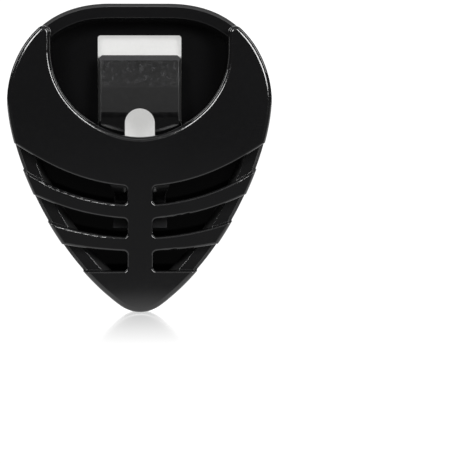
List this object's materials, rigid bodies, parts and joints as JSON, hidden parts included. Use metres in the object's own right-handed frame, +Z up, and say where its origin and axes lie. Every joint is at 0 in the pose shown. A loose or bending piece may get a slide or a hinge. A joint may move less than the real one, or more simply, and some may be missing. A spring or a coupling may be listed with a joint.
{
  "type": "guitar pick holder",
  "caption": "Shield-shaped plastic pocket for guitar picks with a scooped mouth, slotted front, sprung tongue and adhesive foam back.",
  "frame": {"origin": "centre of the adhesive pad's outer face, which sticks to the instrument", "axes": "+Z up towards the mouth that the picks go in by, -Y out of the slotted front, +X to the right seen from the front"},
  "size_m": [0.038, 0.0087, 0.0445],
  "materials": {
    "shell_plastic": "glossy moulded",
    "plate_plastic": "glossy moulded",
    "tongue_plastic": "satin moulded with a fine grain",
    "foam_tape": "matte closed-cell foam with a tacky skin"
  },
  "bodies": {
    "holder": {"front_shell": "shell_plastic", "back_plate": "plate_plastic", "adhesive_pad": "foam_tape"},
    "tongue": {"spring_tongue": "tongue_plastic"}
  },
  "joints": [
    {"name": "tongue_flex", "type": "hinge", "parent": "holder", "child": "tongue", "pos_m": [0, -0.0033, -0.0135], "axis": [-1, 0, 0], "range_deg": [0, 7], "stiffness_Nm_per_rad": 0.1}
  ]
}
